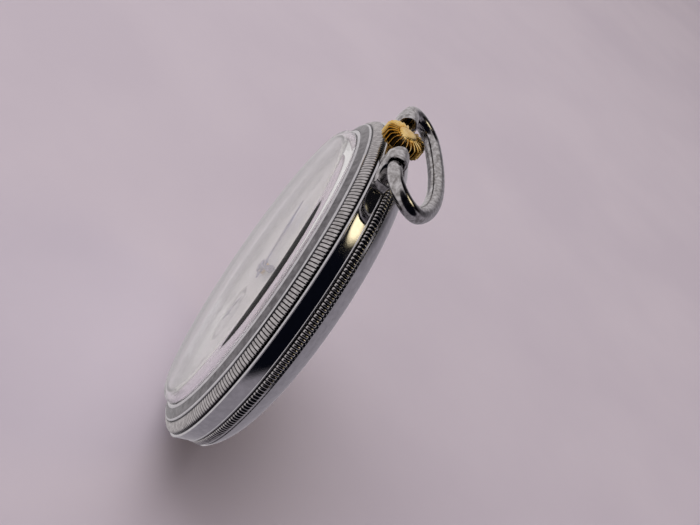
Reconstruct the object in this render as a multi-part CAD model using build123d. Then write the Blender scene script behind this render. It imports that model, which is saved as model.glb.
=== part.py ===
from build123d import *
import math
import os

# An open-face pocket watch with a snap bezel, a snap back and a keyless lever movement.
# Everything is drawn in the watch's own lay-flat frame: X to 3 o'clock, Y to 12 o'clock and
# Z, called height, from the flat of the back towards the dial.  place() stands it up for
# export, so that 12 o'clock is +Z and the dial faces -Y.  Millimetres.

# ---- driving dimensions: movement ----
movement_radius = 20.9
plate_thickness = 2.0
train_space = 1.7
bridge_thickness = 1.0
cock_thickness = 0.55
under_dial_space = 0.9
dial_thickness = 0.4
running = 0.03
snap_fit = 0.05
pivot_radius = 0.15
screw_radius = 0.35
screw_head_radius = 0.75
jewel_radius = 0.5
jewel_depth = 0.5
stem_radius = 0.75

# ---- driving dimensions: case, crystal, crown and bow ----
back_thickness = 0.5
case_wall = 2.0
coin_edge = 2.1
neck_length = 1.0
bezel_lip = 0.6
crystal_thickness = 0.9
crystal_wall = 0.9
crystal_rise = 3.2
crown_radius = 2.85
crown_length = 1.35
crown_flutes = 26
crown_gap = 0.4
crown_dome = 0.75
lug_clearance = 1.25
lug_width = 2.9
bow_wire_radius = 1.1
bow_end_radius = 0.92
bow_depth = 8.4
bow_side_radius = 3.2
bow_pin_radius = 0.55
bow_end_gap = 0.4
bow_rest_angle = 114.0

# ---- levels through the watch, from the flat of the back ----
bridge_top = back_thickness + 0.9
bridge_under = bridge_top + bridge_thickness
plate_back = bridge_under + train_space
plate_front = plate_back + plate_thickness
dial_back = plate_front + under_dial_space
dial_front = dial_back + dial_thickness
flange_height = plate_front - 0.5
back_joint_height = plate_back - 0.15
back_shoulder_height = back_joint_height - 1.35
crystal_seat = dial_front + 0.6
bezel_shoulder_height = crystal_seat - 0.2
bezel_top = crystal_seat + 0.7
stem_height = plate_back + stem_radius + 0.15
lug_radius = bow_end_radius + 0.48
bezel_joint_height = stem_height + lug_radius + 0.05

# ---- radii of the case, each a wall or a fit outside the movement ----
flange_radius = movement_radius + 0.5
dial_radius = movement_radius + 0.1
crystal_radius = movement_radius + 0.8
neck_radius = movement_radius + case_wall
bezel_radius = neck_radius + coin_edge
lip_radius = bezel_radius + 0.15
bezel_shoulder_radius = bezel_radius - 1.28
back_rim_radius = bezel_radius - 0.65
back_flat_radius = back_rim_radius - 5.85

# ---- pendant and bow, sized round the crown and the bow's wire ----
pendant_top = lip_radius + 0.75
bow_pivot_y = pendant_top + 1.1
lug_inner = crown_radius + lug_clearance
lug_outer = lug_inner + lug_width
foot_half_width = lug_outer + 0.6
bow_half_width = lug_outer + bow_end_gap + bow_side_radius

# ---- wheel work: teeth and modules ----
barrel_teeth, centre_leaves, barrel_module = 72, 12, 0.211
centre_teeth, third_leaves, centre_module = 80, 10, 0.13
third_teeth, fourth_leaves, third_module = 75, 10, 0.11
fourth_teeth, escape_leaves, fourth_module = 80, 8, 0.1
cannon_leaves, minute_teeth, cannon_module = 12, 36, 0.15
minute_leaves, hour_teeth, hour_module = 10, 40, 0.144
setting_teeth, idler_teeth = 26, 24
crown_teeth, ratchet_teeth, ratchet_module = 44, 66, 0.2
winding_leaves, contrate_teeth, winding_module = 16, 22, 0.2

escape_radius = 2.6
escape_teeth = 15
pallet_reach = escape_radius / math.cos(math.radians(30))
balance_radius = 7.5
lever_reach = 4.95
roller_radius = 1.15
impulse_radius = 0.95

barrel_angle = 45.0
fourth_drop = 9.6
escape_bearing = 197.3
escapement_bearing = 126.87
minute_wheel_bearing = 109.5

sleeve_wall = 0.17
square_half = 0.42
winding_pinion_length = 1.4
clutch_length = 2.6
clutch_radius = 1.4
clutch_gap = 0.05
crown_pull = 0.8
groove_depth = 0.3
groove_width = 0.6
lever_arm = 2.6
yoke_arm = 3.4

hour_hand_length = 11.5
minute_hand_length = 16.8
second_hand_length = 3.6
hour_hand_bearing = 145.5
minute_hand_bearing = 36.0
second_hand_bearing = 0.0


# ---- places on the plate ----
def polar(radius, degrees, start=(0.0, 0.0)):
    angle = math.radians(degrees)
    return (start[0] + radius * math.cos(angle), start[1] + radius * math.sin(angle))


def bearing(start, end):
    return math.degrees(math.atan2(end[1] - start[1], end[0] - start[0]))


def third_corner(a, reach_a, b, reach_b, side):
    # The point reach_a from a and reach_b from b, on the given side of the line from a to b.
    gap = math.dist(a, b)
    along = (reach_a ** 2 - reach_b ** 2 + gap ** 2) / (2 * gap)
    out = math.sqrt(reach_a ** 2 - along ** 2)
    foot = polar(along, bearing(a, b), a)
    return polar(out * side, bearing(a, b) + 90, foot)


def mesh_reach(teeth, leaves, module):
    return module * (teeth + leaves) / 2


centre = (0.0, 0.0)
barrel = polar(mesh_reach(barrel_teeth, centre_leaves, barrel_module), barrel_angle)
fourth = (0.0, -fourth_drop)
third = third_corner(
    centre, mesh_reach(centre_teeth, third_leaves, centre_module),
    fourth, mesh_reach(third_teeth, fourth_leaves, third_module), 1)
escape = polar(mesh_reach(fourth_teeth, escape_leaves, fourth_module), escape_bearing, fourth)
pallet = polar(pallet_reach, escapement_bearing, escape)
balance = polar(lever_reach, escapement_bearing, pallet)
minute = polar(mesh_reach(minute_teeth, cannon_leaves, cannon_module), minute_wheel_bearing)
crown_wheel_reach = mesh_reach(crown_teeth, ratchet_teeth, ratchet_module)
crown_wheel_at = (0.0, barrel[1] + math.sqrt(crown_wheel_reach ** 2 - barrel[0] ** 2))
contrate_radius = contrate_teeth * winding_module / 2
winding_radius = winding_leaves * winding_module / 2
winding_y = crown_wheel_at[1] + contrate_radius
winding_start = winding_y - winding_pinion_length / 2
winding_end = winding_y + winding_pinion_length / 2
clutch_end = winding_start - clutch_gap
clutch_start = clutch_end - clutch_length
stem_well_start = clutch_start - crown_pull - 0.2
stem_well_end = winding_end + 0.1
groove_y = stem_well_end + 0.75
setting_radius = setting_teeth * cannon_module / 2
setting = (0.0, stem_well_start - setting_radius - cannon_module)
idler = third_corner(
    setting, mesh_reach(setting_teeth, idler_teeth, cannon_module),
    minute, mesh_reach(minute_teeth, idler_teeth, cannon_module), 1)

# ---- levels ----
ratchet_level = (bridge_top - 0.45, bridge_top - 0.05)
barrel_level = (bridge_under + 0.1, bridge_under + 1.15)
centre_level = (plate_back - 0.32, plate_back - 0.12)
third_level = (bridge_under + 0.62, bridge_under + 0.78)
fourth_level = (plate_back - 0.8, plate_back - 0.64)
lever_level = (plate_back - 0.4, plate_back - 0.2)
balance_level = (bridge_under + 0.1, bridge_under + 0.6)
cannon_level = (plate_front + 0.1, plate_front + 0.4)
hour_level = (plate_front + 0.5, plate_front + 0.72)
keyless_level = (plate_front + 0.05, plate_front + 0.35)
second_hand_level = (dial_front + 0.12, dial_front + 0.22)
hour_hand_level = (dial_front + 0.4, dial_front + 0.55)
minute_hand_level = (dial_front + 0.75, dial_front + 0.9)


# ---- drawing helpers ----
def disc(radius, bottom, top, at=(0.0, 0.0)):
    return Pos(at[0], at[1], bottom) * extrude(Circle(radius), top - bottom)


def ring(outer, inner, bottom, top, at=(0.0, 0.0)):
    return disc(outer, bottom, top, at) - disc(inner, bottom - 1, top + 1, at)


def block(x0, x1, y0, y1, z0, z1):
    return Pos((x0 + x1) / 2, (y0 + y1) / 2, (z0 + z1) / 2) * Box(x1 - x0, y1 - y0, z1 - z0)


def rod_y(radius, start, end, x=0.0, z=stem_height):
    return Pos(x, start, z) * Rot(-90, 0, 0) * extrude(Circle(radius), end - start)


def rod_x(radius, start, end, y=bow_pivot_y, z=stem_height):
    return Pos(start, y, z) * Rot(0, 90, 0) * extrude(Circle(radius), end - start)


def plate(points, bottom, top):
    return Pos(0, 0, bottom) * extrude(Polygon(*points, align=None), top - bottom, dir=(0, 0, 1))


def turned(points):
    # A solid of revolution about the watch's axis, from (radius, height) points.
    outline = Polyline(*[(r, 0, h) for r, h in points], close=True)
    return revolve(make_face(outline), Axis.Z)


def bar(start, end, width, bottom, top):
    # A flat arm with round ends between two places.
    side = bearing(start, end) + 90
    half = width / 2
    corners = [polar(half, side, start), polar(half, side, end),
               polar(-half, side, end), polar(-half, side, start)]
    return plate(corners, bottom, top) + disc(half, bottom, top, start) + disc(half, bottom, top, end)


def toothed(teeth, module, bottom, top, at, phase):
    # A wheel with straight-flanked teeth; one tooth points in the direction of phase.
    pitch = 360 / teeth
    root = module * (teeth / 2 - 1.25)
    tip = module * (teeth / 2 + 0.85)
    points = []
    for tooth in range(teeth):
        middle = phase + tooth * pitch
        points.append(polar(root, middle - 0.27 * pitch))
        points.append(polar(tip, middle - 0.11 * pitch))
        points.append(polar(tip, middle + 0.11 * pitch))
        points.append(polar(root, middle + 0.27 * pitch))
    return Pos(at[0], at[1], bottom) * extrude(Polygon(*points, align=None), top - bottom)


def partner_phase(teeth, phase, at, partner_teeth, partner_at):
    # The direction of one tooth of the partner that puts its gap on the wheel's tooth.
    line = bearing(at, partner_at)
    return line + 180 - (phase - line) * teeth / partner_teeth + 180 / partner_teeth


def crossed_out(teeth, module, level, at, phase, rim, hub, arms, arm_width, bore):
    # A train wheel: toothed rim, hub and straight arms.
    inner = module * (teeth / 2 - 1.25) - rim
    windows = disc(inner, level[0] - 1, level[1] + 1, at) - disc(hub, level[0] - 1, level[1] + 1, at)
    for arm in range(arms):
        end = polar(inner + 1, phase + arm * 360 / arms, at)
        windows -= bar(at, end, arm_width, level[0] - 1, level[1] + 1)
    return toothed(teeth, module, level[0], level[1], at, phase) - windows - disc(
        bore, level[0] - 1, level[1] + 1, at)


def arbor(at, radius, bottom, top, low_pivot, high_pivot):
    # A shaft with a thinner pivot at each end; the pivots run in jewels or bushes.
    return disc(radius, bottom, top, at) + disc(pivot_radius, bottom - low_pivot, bottom, at) + disc(
        pivot_radius, top, top + high_pivot, at)


def place(shape):
    return Rot(90, 0, 0) * shape


# ---- case ----
def middle_ring():
    seat = back_joint_height + 0.03
    inner = movement_radius + snap_fit
    return turned([
        (inner, seat - neck_length), (neck_radius, seat - neck_length), (neck_radius, seat),
        (back_rim_radius, seat), (bezel_radius, bezel_joint_height - 0.33),
        (lip_radius, bezel_joint_height - 0.28), (lip_radius, bezel_joint_height - 0.03),
        (neck_radius, bezel_joint_height - 0.03), (neck_radius, bezel_joint_height + neck_length - 0.1),
        (flange_radius + snap_fit, bezel_joint_height + neck_length - 0.1),
        (flange_radius + snap_fit, flange_height), (inner, flange_height)])


def stem_tube_hole():
    return rod_y(stem_radius + sleeve_wall + snap_fit, movement_radius - 1, pendant_top + 1)


def case_middle():
    body = middle_ring() - stem_tube_hole()
    for at in case_screw_places():
        body -= disc(screw_radius, flange_height - 1.2, flange_height + 1, at)
    return body


def pendant():
    # A block brazed on the band, with a lug at each side of the crown for the bow.
    low = stem_height - lug_radius
    high = stem_height + lug_radius
    half_top = lug_outer + 0.1
    outline = [(-foot_half_width, neck_radius - 0.3), (foot_half_width, neck_radius - 0.3),
               (foot_half_width, lip_radius - 0.65), (half_top, pendant_top),
               (-half_top, pendant_top), (-foot_half_width, lip_radius - 0.65)]
    body = plate(outline, low, high)
    for side in (-1, 1):
        lug_ends = sorted((side * lug_inner, side * lug_outer))
        body += block(lug_ends[0], lug_ends[1], pendant_top - 0.5, bow_pivot_y, low, high)
        body += rod_x(lug_radius, lug_ends[0], lug_ends[1])
        body -= Pos(side * (lug_outer + 1.7), bow_pivot_y - 0.4, 0) * Cylinder(2.3, 40)
        socket = sorted((side * (lug_outer - 1.3), side * (lug_outer + 2)))
        body -= rod_x(bow_end_radius + 0.12, socket[0], socket[1])
        hole = sorted((side * (lug_inner + 0.3), side * lug_outer))
        body -= rod_x(bow_pin_radius + snap_fit, hole[0], hole[1])
    body -= disc(back_rim_radius + 0.1, low - 1, back_joint_height + 0.03)
    return body - disc(neck_radius, low - 1, high + 1) - middle_ring() - stem_tube_hole()


def pendant_sleeve():
    start = movement_radius + 0.7
    sleeve = rod_y(stem_radius + sleeve_wall + snap_fit, start, pendant_top - 0.05)
    return sleeve - rod_y(stem_radius + snap_fit, start - 1, pendant_top + 1)


def back_cover():
    rim_top = back_joint_height
    shoulder = (back_rim_radius - 0.15, back_shoulder_height)
    outer = Polyline((0, 0, 0), (back_flat_radius, 0, 0))
    outer += ThreePointArc((back_flat_radius, 0, 0), (shoulder[0] - 1.75, 0, shoulder[1] * 0.33),
                           (shoulder[0], 0, shoulder[1]))
    outer += Polyline((shoulder[0], 0, shoulder[1]), (back_rim_radius, 0, rim_top),
                      (neck_radius + snap_fit, 0, rim_top),
                      (neck_radius + snap_fit, 0, rim_top - neck_length - 0.05))
    outer += ThreePointArc((neck_radius + snap_fit, 0, rim_top - neck_length - 0.05),
                           (shoulder[0] - 2.35, 0, shoulder[1] * 0.5),
                           (back_flat_radius - 0.3, 0, back_thickness))
    outer += Polyline((back_flat_radius - 0.3, 0, back_thickness), (0, 0, back_thickness), (0, 0, 0))
    return revolve(make_face(outer), Axis.Z)


def bezel():
    base = bezel_joint_height
    skirt = neck_radius + snap_fit
    return turned([
        (skirt, base), (bezel_radius, base), (bezel_shoulder_radius, bezel_shoulder_height),
        (bezel_shoulder_radius - 0.2, bezel_shoulder_height + 0.1),
        (crystal_radius + 0.35, bezel_top), (crystal_radius, bezel_top), (crystal_radius, crystal_seat),
        (crystal_radius - bezel_lip, crystal_seat), (crystal_radius - bezel_lip, base + neck_length),
        (skirt, base + neck_length)])


def dome(edge_radius, edge_height, top):
    # The arc of a sphere centred on the watch's axis, from its edge up to its top.
    rise = top - edge_height
    radius = (edge_radius ** 2 + rise ** 2) / (2 * rise)
    half_angle = math.asin(edge_radius / radius) / 2
    middle = (radius * math.sin(half_angle), 0, top - radius + radius * math.cos(half_angle))
    return ThreePointArc((edge_radius, 0, edge_height), middle, (0, 0, top))


def crystal():
    seat = crystal_seat
    wall_top = seat + crystal_wall
    top = seat + crystal_rise
    edge_radius = crystal_radius - 1.1
    edge_height = wall_top + (top - wall_top) * 0.435
    inside = crystal_radius - crystal_thickness
    outline = Polyline((inside, 0, seat), (crystal_radius, 0, seat), (crystal_radius, 0, wall_top))
    bulge_height = wall_top * 0.38 + edge_height * 0.62
    outline += ThreePointArc((crystal_radius, 0, wall_top), (crystal_radius - 0.28, 0, bulge_height),
                             (edge_radius, 0, edge_height))
    outline += dome(edge_radius, edge_height, top)
    outline += Line((0, 0, top), (0, 0, top - crystal_thickness))
    outline += dome(inside - 0.4, edge_height - crystal_thickness, top - crystal_thickness)
    outline += Polyline((inside - 0.4, 0, edge_height - crystal_thickness), (inside, 0, wall_top - 0.3),
                        (inside, 0, seat))
    return revolve(make_face(outline), Axis.Z)


def bow():
    # Drawn pointing to 12 o'clock: straight ends on the pivot line, round sides, a flat outer arc.
    side_x = bow_half_width - bow_side_radius
    rise = bow_depth - bow_side_radius
    top_radius = (side_x ** 2 + rise ** 2 - bow_side_radius ** 2) / (2 * (rise - bow_side_radius))
    touch = polar(bow_side_radius, bearing((0, bow_depth - top_radius), (side_x, bow_side_radius)),
                  (side_x, bow_side_radius))
    neck = lug_outer - 1.2
    wire = None
    for side in (-1, 1):
        widest = (side * bow_half_width, bow_side_radius)
        arc = ThreePointArc((side * side_x, 0),
                            polar(bow_side_radius, -45 if side > 0 else 225,
                                  (side * side_x, bow_side_radius)), widest)
        arc += ThreePointArc(widest, polar(bow_side_radius, 35 if side > 0 else 145,
                                           (side * side_x, bow_side_radius)),
                             (side * touch[0], touch[1]))
        start = Plane(origin=(side * side_x, 0, 0), z_dir=(side, 0, 0))
        half = sweep(start * Circle(bow_wire_radius), path=arc)
        ends = sorted((side * (lug_outer + snap_fit), side * side_x))
        half += Pos(ends[0], 0, 0) * Rot(0, 90, 0) * extrude(Circle(bow_wire_radius), ends[1] - ends[0])
        shank = sorted((side * neck, side * side_x))
        half += Pos(shank[0], 0, 0) * Rot(0, 90, 0) * extrude(Circle(bow_end_radius), shank[1] - shank[0])
        pin = sorted((side * (lug_inner + 0.4), side * neck))
        half += Pos(pin[0], 0, 0) * Rot(0, 90, 0) * extrude(Circle(bow_pin_radius), pin[1] - pin[0])
        wire = half if wire is None else wire + half
    outer = ThreePointArc((touch[0], touch[1]), (0, bow_depth), (-touch[0], touch[1]))
    turn = bearing((0, bow_depth - top_radius), touch) + 90
    across = Plane(origin=(touch[0], touch[1], 0), z_dir=(math.cos(math.radians(turn)),
                                                        math.sin(math.radians(turn)), 0))
    wire += sweep(across * Circle(bow_wire_radius), path=outer)
    return Pos(0, bow_pivot_y, stem_height) * Rot(-bow_rest_angle, 0, 0) * wire


def crown():
    start = pendant_top + crown_gap
    rim = start + crown_length
    boss = crown_radius * 0.42
    dome_top = rim + crown_dome
    pitch = 360 / crown_flutes
    points = []
    for flute in range(crown_flutes):
        middle = flute * pitch
        points.append(polar(crown_radius - 0.3, middle - 0.36 * pitch))
        points.append(polar(crown_radius, middle - 0.2 * pitch))
        points.append(polar(crown_radius, middle + 0.2 * pitch))
        points.append(polar(crown_radius - 0.3, middle + 0.36 * pitch))
    fluted = Pos(0, start, stem_height) * Rot(-90, 0, 0) * extrude(
        Polygon(*points, align=None), crown_length + crown_dome + 1)
    outline = Polyline((0, start), (crown_radius - 0.25, start), (crown_radius, start + 0.25),
                       (crown_radius, rim))
    outline += ThreePointArc((crown_radius, rim), (crown_radius * 0.8, rim + crown_dome * 0.62),
                             (boss + 0.1, dome_top))
    outline += Polyline((boss + 0.1, dome_top), (boss, dome_top + 0.15), (0, dome_top + 0.15), (0, start))
    turned_crown = Pos(0, 0, stem_height) * revolve(make_face(outline), Axis.Y)
    return (fluted & turned_crown) - rod_y(stem_radius, start - 1, rim - 0.6)


# ---- plates and bridges ----
def case_screw_places():
    return [polar(movement_radius + 0.27, 200), polar(movement_radius + 0.27, 340)]


def bridge_screw_places():
    return [(-5.6, 17.0), (17.0, 8.0), (-5.2, 5.2), (9.0, -3.6), (5.8, -15.8), (-1.9, -17.4)]


def dial_foot_places():
    return [polar(18.0, 20), polar(18.0, 200)]


def jewelled():
    return [third, fourth, escape, pallet, balance]


def stem_hollow(top):
    # The room in a plate for the winding pinion, the clutch and the stem itself.
    hollow = block(-winding_radius - 0.4, winding_radius + 0.4, stem_well_start, stem_well_end,
                   plate_back - 2, top)
    hollow += rod_y(stem_radius + snap_fit, stem_well_end - 1, movement_radius + 2)
    return hollow + rod_y(square_half + snap_fit, stem_well_start - 1.4, stem_well_start + 1)


def mainplate():
    body = disc(movement_radius, plate_back, plate_front) + disc(
        flange_radius, flange_height, plate_front)
    body -= stem_hollow(plate_front + 1)
    body -= block(-0.45, 0.45, groove_y - 0.5, groove_y + crown_pull + 0.45, stem_height, plate_front + 1)
    for at in (third, escape, pallet, balance):
        body -= disc(jewel_radius, plate_back - 1, plate_back + jewel_depth, at)
        body -= disc(pivot_radius + running, plate_back, plate_back + 0.9, at)
    body -= disc(jewel_radius, plate_back - 1, plate_back + jewel_depth, fourth)
    body -= disc(pivot_radius + running, plate_back, plate_front + 1, fourth)
    body -= disc(0.6 + running, plate_back - 1, plate_front + 1, centre)
    body -= disc(0.5 + running, plate_back - 1, plate_back + 0.8, barrel)
    for at in dial_foot_places():
        body -= disc(0.4, plate_front - 1, plate_front + 1, at)
    for at in bridge_screw_places():
        body -= disc(screw_radius, plate_back - 1, plate_back + 1.2, at)
    for at in case_screw_places():
        body -= disc(screw_radius, flange_height - 3, plate_front + 1, at)
    for at in (balance_foot(), pallet_foot(-1), pallet_foot(1)):
        body -= disc(screw_radius, plate_back - 1, plate_back + 1.2, at)
    for at in (setting, idler, minute, lever_pivot(), yoke_pivot()):
        body += disc(0.3, plate_front, keyless_level[1] + 0.3, at)
    return body


def bridge_pillars(places):
    # Legs that hold a bridge off the plate around its screws.
    legs = None
    for at in places:
        leg = disc(1.3, bridge_under, plate_back, at)
        legs = leg if legs is None else legs + leg
    return legs


def screw_holes(body, places, top):
    for at in places:
        body -= disc(screw_radius, top - 1, plate_back + 1, at)
        body -= disc(screw_head_radius, top - 1, top + 0.35, at)
    return body


def barrel_bridge():
    region = disc(movement_radius - 0.5, bridge_top, bridge_under) & block(
        -10, 21, 1.6, 21, bridge_top, bridge_under)
    region += bridge_pillars(bridge_screw_places()[:3])
    region -= disc(0.5 + running, 0, plate_back, barrel)
    region -= disc(1.2 + running, 0, plate_back, crown_wheel_at)
    region -= disc(screw_radius, 0, plate_back, click_pivot())
    return screw_holes(region, bridge_screw_places()[:3], bridge_top)


def train_bridge():
    region = disc(movement_radius - 0.5, bridge_top, bridge_under) & block(
        -7, 12, -21, 1.4, bridge_top, bridge_under)
    region -= disc(balance_radius - 1.3, 0, plate_back, balance)
    region += bridge_pillars(bridge_screw_places()[3:])
    for at in (third, fourth, escape):
        region -= disc(jewel_radius, bridge_under - jewel_depth, plate_back, at)
        region -= disc(pivot_radius + running, bridge_under - 0.9, plate_back, at)
    region -= disc(pivot_radius + 0.1 + running, bridge_under - 0.7, plate_back, centre)
    return screw_holes(region, bridge_screw_places()[3:], bridge_top)


def balance_foot():
    return polar(balance_radius + 1.75, bearing(centre, balance), balance)


def balance_cock():
    foot = balance_foot()
    body = bar(balance, foot, 3.0, bridge_top, bridge_top + cock_thickness)
    body += disc(1.35, bridge_top, plate_back, foot)
    body -= disc(jewel_radius, bridge_top + 0.15, plate_back, balance)
    body -= disc(screw_radius, 0, plate_back + 1, foot)
    return body - disc(screw_head_radius, 0, bridge_top + 0.3, foot)


def pallet_foot(side):
    return polar(2.6 * side, escapement_bearing + 90, pallet)


def pallet_bridge():
    low = balance_level[1] + 0.1
    body = bar(pallet_foot(-1), pallet_foot(1), 1.1, low, low + 0.3)
    for side in (-1, 1):
        body += disc(0.55, low, plate_back, pallet_foot(side))
        body -= disc(0.2, 0, plate_back + 1, pallet_foot(side))
    return body - disc(pivot_radius + running, 0, plate_back, pallet)


def jewels():
    # Pierced stones pressed into the plate, the train bridge and the balance cock.
    stones = []
    for at in jewelled():
        if at != pallet:
            low = bridge_under - jewel_depth
            high = bridge_under
            if at == balance:
                low = bridge_top + 0.15
                high = bridge_top + cock_thickness
            stones.append(ring(jewel_radius, pivot_radius + running, low, high, at))
        stones.append(ring(jewel_radius, pivot_radius + running, plate_back, plate_back + jewel_depth, at))
    return Compound(children=[stone.solid() for stone in stones])


def slotted_screw(at, head_bottom, head_top, shank_end, head, shank):
    # The head faces the back; the slot runs across it.
    screw = disc(head, head_bottom, head_top, at) + disc(shank, head_top - 0.05, shank_end, at)
    return screw - block(at[0] - head, at[0] + head, at[1] - 0.1, at[1] + 0.1,
                         head_bottom - 1, head_bottom + 0.12)


def bridge_screws():
    screws = []
    for at in bridge_screw_places():
        screws.append(slotted_screw(at, bridge_top, bridge_top + 0.35, plate_back + 1,
                                    screw_head_radius - 0.02, screw_radius))
    screws.append(slotted_screw(balance_foot(), bridge_top, bridge_top + 0.3, plate_back + 1,
                                screw_head_radius - 0.02, screw_radius))
    return Compound(children=[screw.solid() for screw in screws])


def pallet_screws():
    low = balance_level[1] + 0.1
    screws = [disc(0.2, low, plate_back + 1, pallet_foot(side)) for side in (-1, 1)]
    return Compound(children=[screw.solid() for screw in screws])


def case_screws():
    screws = []
    for at in case_screw_places():
        screw = disc(screw_radius, flange_height - 1.2, plate_front, at)
        screws.append(screw + disc(0.6, plate_front, plate_front + 0.3, at) & disc(
            flange_radius, 0, 20))
    return Compound(children=[screw.solid() for screw in screws])


# ---- dial side ----
def dial_spacer():
    body = ring(dial_radius, dial_radius - 0.6, plate_front, dial_back)
    for at in case_screw_places():
        body -= disc(0.7, plate_front - 1, plate_front + 0.35, at)
    return body


def dial():
    body = disc(dial_radius, dial_back, dial_front)
    body -= disc(4.6, dial_front - 0.08, dial_front + 1, fourth)
    body -= disc(0.95, 0, dial_front + 1, centre)
    body -= disc(0.35, 0, dial_front + 1, fourth)
    for at in dial_foot_places():
        body += disc(0.4, plate_front - 0.9, dial_back, at)
    return body


def hand(length, direction, level, hub, bore, at, width, tail):
    # A tapering hand with a round hub and a short tail.
    tip = polar(length, direction, at)
    middle = polar(length * 0.62, direction, at)
    back = polar(tail, direction + 180, at)
    points = [back, polar(width / 2, direction - 90, middle), tip,
              polar(width / 2, direction + 90, middle)]
    body = plate(points, level[0], level[1]) + disc(hub, level[0], level[1], at)
    body += bar(back, middle, width * 0.4, level[0], level[1])
    return body - disc(bore, level[0] - 1, level[1] + 1, at)


def hour_hand():
    return hand(hour_hand_length, hour_hand_bearing, hour_hand_level, 1.3, 0.85, centre, 1.5, 1.5)


def minute_hand():
    return hand(minute_hand_length, minute_hand_bearing, minute_hand_level, 1.0, 0.55, centre, 1.1, 1.5)


def second_hand():
    return hand(second_hand_length, second_hand_bearing + 90, second_hand_level, 0.4,
                pivot_radius, fourth, 0.3, 1.4)


# ---- going train ----
def barrel_drum():
    low, high = barrel_level
    phase = partner_phase(centre_leaves, 0, centre, barrel_teeth, barrel)
    wall = barrel_teeth * barrel_module / 2 - 0.5
    body = toothed(barrel_teeth, barrel_module, low, low + 0.4, barrel, phase)
    body += disc(wall, low, high, barrel)
    body -= disc(wall - 0.35, low + 0.2, high + 1, barrel)
    body -= disc(0.5 + running, low - 1, high + 1, barrel)
    return body


def barrel_cover():
    high = barrel_level[1]
    wall = barrel_teeth * barrel_module / 2 - 0.5
    return ring(wall - 0.35, 0.5 + running, high - 0.2, high, barrel)


def spiral(at, inner, pitch, turns, width, low, high):
    # A flat coil of strip; its two edges are walked out and back.
    steps = 24
    edge_out = []
    edge_in = []
    for step in range(turns * steps + 1):
        radius = inner + pitch * step / steps
        edge_in.append(polar(radius, 360 * step / steps, at))
        edge_out.append(polar(radius + width, 360 * step / steps, at))
    return plate(edge_in + edge_out[::-1], low, high)


def mainspring():
    wall = barrel_teeth * barrel_module / 2 - 0.85
    turns = 10
    start = 1.5
    pitch = (wall - start - 0.25) / turns
    return spiral(barrel, start, pitch, turns, 0.22, barrel_level[0] + 0.25, barrel_level[1] - 0.25)


def barrel_arbor():
    body = disc(0.5, ratchet_level[0], plate_back + 0.75, barrel)
    body += disc(1.4, barrel_level[0] + 0.25, barrel_level[1] - 0.25, barrel)
    return body - disc(0.25, 0, ratchet_level[0] + 0.8, barrel)


def ratchet_wheel():
    phase = partner_phase(crown_teeth, 0, crown_wheel_at, ratchet_teeth, barrel)
    body = toothed(ratchet_teeth, ratchet_module, ratchet_level[0], ratchet_level[1], barrel, phase)
    return body - disc(0.5, 0, 5, barrel)


def ratchet_screw():
    return slotted_screw(barrel, ratchet_level[0] - 0.2, ratchet_level[0],
                         ratchet_level[0] + 0.8, 1.1, 0.25)


def centre_wheel():
    return crossed_out(centre_teeth, centre_module, centre_level, centre, 0, 0.5, 1.3, 5, 0.5, 0.6)


def centre_pinion():
    top = plate_front
    body = toothed(centre_leaves, barrel_module, bridge_under + 0.05, centre_level[0] - 0.05, centre, 0)
    body += disc(0.6, bridge_under + 0.05, top, centre)
    body += disc(0.38, top, minute_hand_level[0] - 0.1, centre)
    return body + disc(pivot_radius + 0.1, bridge_under - 0.6, bridge_under + 0.05, centre)


def cannon_pinion():
    body = toothed(cannon_leaves, cannon_module, cannon_level[0], cannon_level[1], centre, 0)
    body += disc(0.55, cannon_level[0], minute_hand_level[1], centre)
    return body - disc(0.38, 0, 20, centre)


def third_wheel():
    return crossed_out(third_teeth, third_module, third_level, third, 0, 0.45, 0.9, 4, 0.45, 0.35)


def third_pinion():
    phase = partner_phase(centre_teeth, 0, centre, third_leaves, third)
    body = arbor(third, 0.35, bridge_under + 0.03, plate_back - 0.03, 0.45, 0.45)
    return body + toothed(third_leaves, centre_module, centre_level[0] - 0.1, plate_back - 0.05,
                          third, phase)


def fourth_wheel():
    return crossed_out(fourth_teeth, fourth_module, fourth_level, fourth, 0, 0.45, 0.9, 4, 0.45, 0.35)


def fourth_pinion():
    phase = partner_phase(third_teeth, 0, third, fourth_leaves, fourth)
    body = arbor(fourth, 0.35, bridge_under + 0.03, plate_back - 0.03, 0.45,
                 second_hand_level[1] - plate_back + 0.1)
    return body + toothed(fourth_leaves, third_module, third_level[0] - 0.05, third_level[1] + 0.05,
                          fourth, phase)


def escape_wheel():
    points = []
    pitch = 360 / escape_teeth
    for tooth in range(escape_teeth):
        middle = escapement_bearing + (tooth + 0.5) * pitch
        points.append(polar(escape_radius * 0.74, middle - 0.35 * pitch))
        points.append(polar(escape_radius, middle - 0.08 * pitch))
        points.append(polar(escape_radius, middle + 0.08 * pitch))
        points.append(polar(escape_radius * 0.74, middle + 0.1 * pitch))
    body = Pos(escape[0], escape[1], lever_level[0]) * extrude(
        Polygon(*points, align=None), lever_level[1] - lever_level[0])
    windows = ring(escape_radius * 0.74 - 0.3, 0.6, 0, 20, escape)
    for arm in range(4):
        windows -= bar(escape, polar(escape_radius * 0.7, 90 * arm, escape), 0.3, 0, 20)
    return body - windows - disc(0.3, 0, 20, escape)


def escape_pinion():
    phase = partner_phase(fourth_teeth, 0, fourth, escape_leaves, escape)
    body = arbor(escape, 0.3, bridge_under + 0.03, plate_back - 0.03, 0.45, 0.45)
    return body + toothed(escape_leaves, fourth_module, fourth_level[0] - 0.05,
                          fourth_level[1] + 0.05, escape, phase)


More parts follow.
